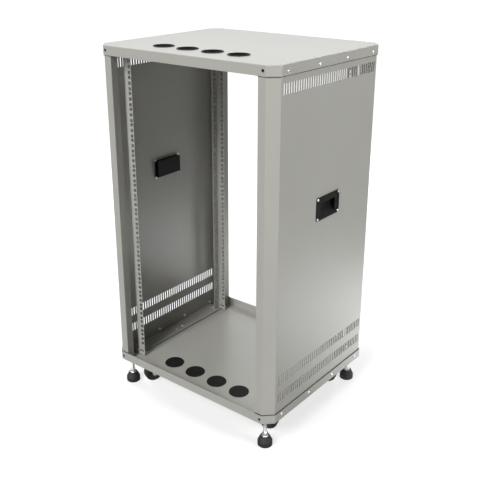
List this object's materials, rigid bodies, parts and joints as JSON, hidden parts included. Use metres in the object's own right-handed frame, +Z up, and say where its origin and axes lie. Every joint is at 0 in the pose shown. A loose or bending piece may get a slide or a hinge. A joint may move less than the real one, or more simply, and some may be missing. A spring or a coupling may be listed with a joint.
{
  "type": "rolling open frame equipment rack",
  "caption": "Open floor rack: bent sheet side panels between lid and base tray, square-hole equipment rails, cup handles, swivel castors and screw feet.",
  "frame": {"origin": "on the floor, under the middle of the rack", "axes": "+X to the right seen from the front, front faces -Y, +Z up"},
  "size_m": [0.6, 0.5, 1.057],
  "materials": {
    "grey_paint": "satin powder coat, light grey",
    "rail_paint": "satin powder coat, light grey",
    "black_plastic": "moulded, fine grain",
    "black_rubber": "matt",
    "black_tread": "satin",
    "zinc": "bright zinc plate"
  },
  "bodies": {
    "frame": {"base_tray": "grey_paint", "lid": "grey_paint", "stud_nuts": "zinc", "lid_entry_rim_1": "black_plastic", "base_entry_cover_1": "black_plastic", "lid_entry_rim_2": "black_plastic", "base_entry_cover_2": "black_plastic", "lid_entry_rim_3": "black_plastic", "base_entry_cover_3": "black_plastic", "lid_entry_rim_4": "black_plastic", "base_entry_cover_4": "black_plastic", "left_side_panel": "grey_paint", "left_handle": "black_plastic", "right_side_panel": "grey_paint", "right_handle": "black_plastic", "front_left_rail": "rail_paint", "front_left_castor_plate": "zinc", "rear_left_rail": "rail_paint", "rear_left_castor_plate": "zinc", "front_right_rail": "rail_paint", "front_right_castor_plate": "zinc", "rear_right_rail": "rail_paint", "rear_right_castor_plate": "zinc"},
    "front_left_swivel": {"front_left_castor_fork": "zinc", "front_left_castor_axle": "zinc"},
    "front_left_wheel": {"front_left_castor_wheel": "black_tread"},
    "front_left_foot": {"front_left_foot_pad": "black_rubber", "front_left_foot_stud": "zinc"},
    "rear_left_swivel": {"rear_left_castor_fork": "zinc", "rear_left_castor_axle": "zinc"},
    "rear_left_wheel": {"rear_left_castor_wheel": "black_tread"},
    "rear_left_foot": {"rear_left_foot_pad": "black_rubber", "rear_left_foot_stud": "zinc"},
    "front_right_swivel": {"front_right_castor_fork": "zinc", "front_right_castor_axle": "zinc"},
    "front_right_wheel": {"front_right_castor_wheel": "black_tread"},
    "front_right_foot": {"front_right_foot_pad": "black_rubber", "front_right_foot_stud": "zinc"},
    "rear_right_swivel": {"rear_right_castor_fork": "zinc", "rear_right_castor_axle": "zinc"},
    "rear_right_wheel": {"rear_right_castor_wheel": "black_tread"},
    "rear_right_foot": {"rear_right_foot_pad": "black_rubber", "rear_right_foot_stud": "zinc"}
  },
  "joints": [
    {"name": "front_left_castor_swivel", "type": "hinge", "parent": "frame", "child": "front_left_swivel", "pos_m": [-0.203, -0.157, 0.087], "axis": [0, 0, 1], "continuous": true},
    {"name": "front_left_wheel_roll", "type": "hinge", "parent": "front_left_swivel", "child": "front_left_wheel", "pos_m": [-0.2116, -0.17725, 0.032], "axis": [0.9205, -0.3907, 0], "continuous": true},
    {"name": "front_left_foot_screw", "type": "slide", "parent": "frame", "child": "front_left_foot", "axis": [0, 0, 1], "range_m": [-0.012, 0.01]},
    {"name": "rear_left_castor_swivel", "type": "hinge", "parent": "frame", "child": "rear_left_swivel", "pos_m": [-0.203, 0.157, 0.087], "axis": [0, 0, 1], "continuous": true},
    {"name": "rear_left_wheel_roll", "type": "hinge", "parent": "rear_left_swivel", "child": "rear_left_wheel", "pos_m": [-0.2116, 0.13675, 0.032], "axis": [0.9205, -0.3907, 0], "continuous": true},
    {"name": "rear_left_foot_screw", "type": "slide", "parent": "frame", "child": "rear_left_foot", "axis": [0, 0, 1], "range_m": [-0.012, 0.01]},
    {"name": "front_right_castor_swivel", "type": "hinge", "parent": "frame", "child": "front_right_swivel", "pos_m": [0.203, -0.157, 0.087], "axis": [0, 0, 1], "continuous": true},
    {"name": "front_right_wheel_roll", "type": "hinge", "parent": "front_right_swivel", "child": "front_right_wheel", "pos_m": [0.22415, -0.15094, 0.032], "axis": [-0.2756, 0.9613, 0], "continuous": true},
    {"name": "front_right_foot_screw", "type": "slide", "parent": "frame", "child": "front_right_foot", "axis": [0, 0, 1], "range_m": [-0.012, 0.01]},
    {"name": "rear_right_castor_swivel", "type": "hinge", "parent": "frame", "child": "rear_right_swivel", "pos_m": [0.203, 0.157, 0.087], "axis": [0, 0, 1], "continuous": true},
    {"name": "rear_right_wheel_roll", "type": "hinge", "parent": "rear_right_swivel", "child": "rear_right_wheel", "pos_m": [0.22415, 0.16306, 0.032], "axis": [-0.2756, 0.9613, 0], "continuous": true},
    {"name": "rear_right_foot_screw", "type": "slide", "parent": "frame", "child": "rear_right_foot", "axis": [0, 0, 1], "range_m": [-0.012, 0.01]}
  ]
}
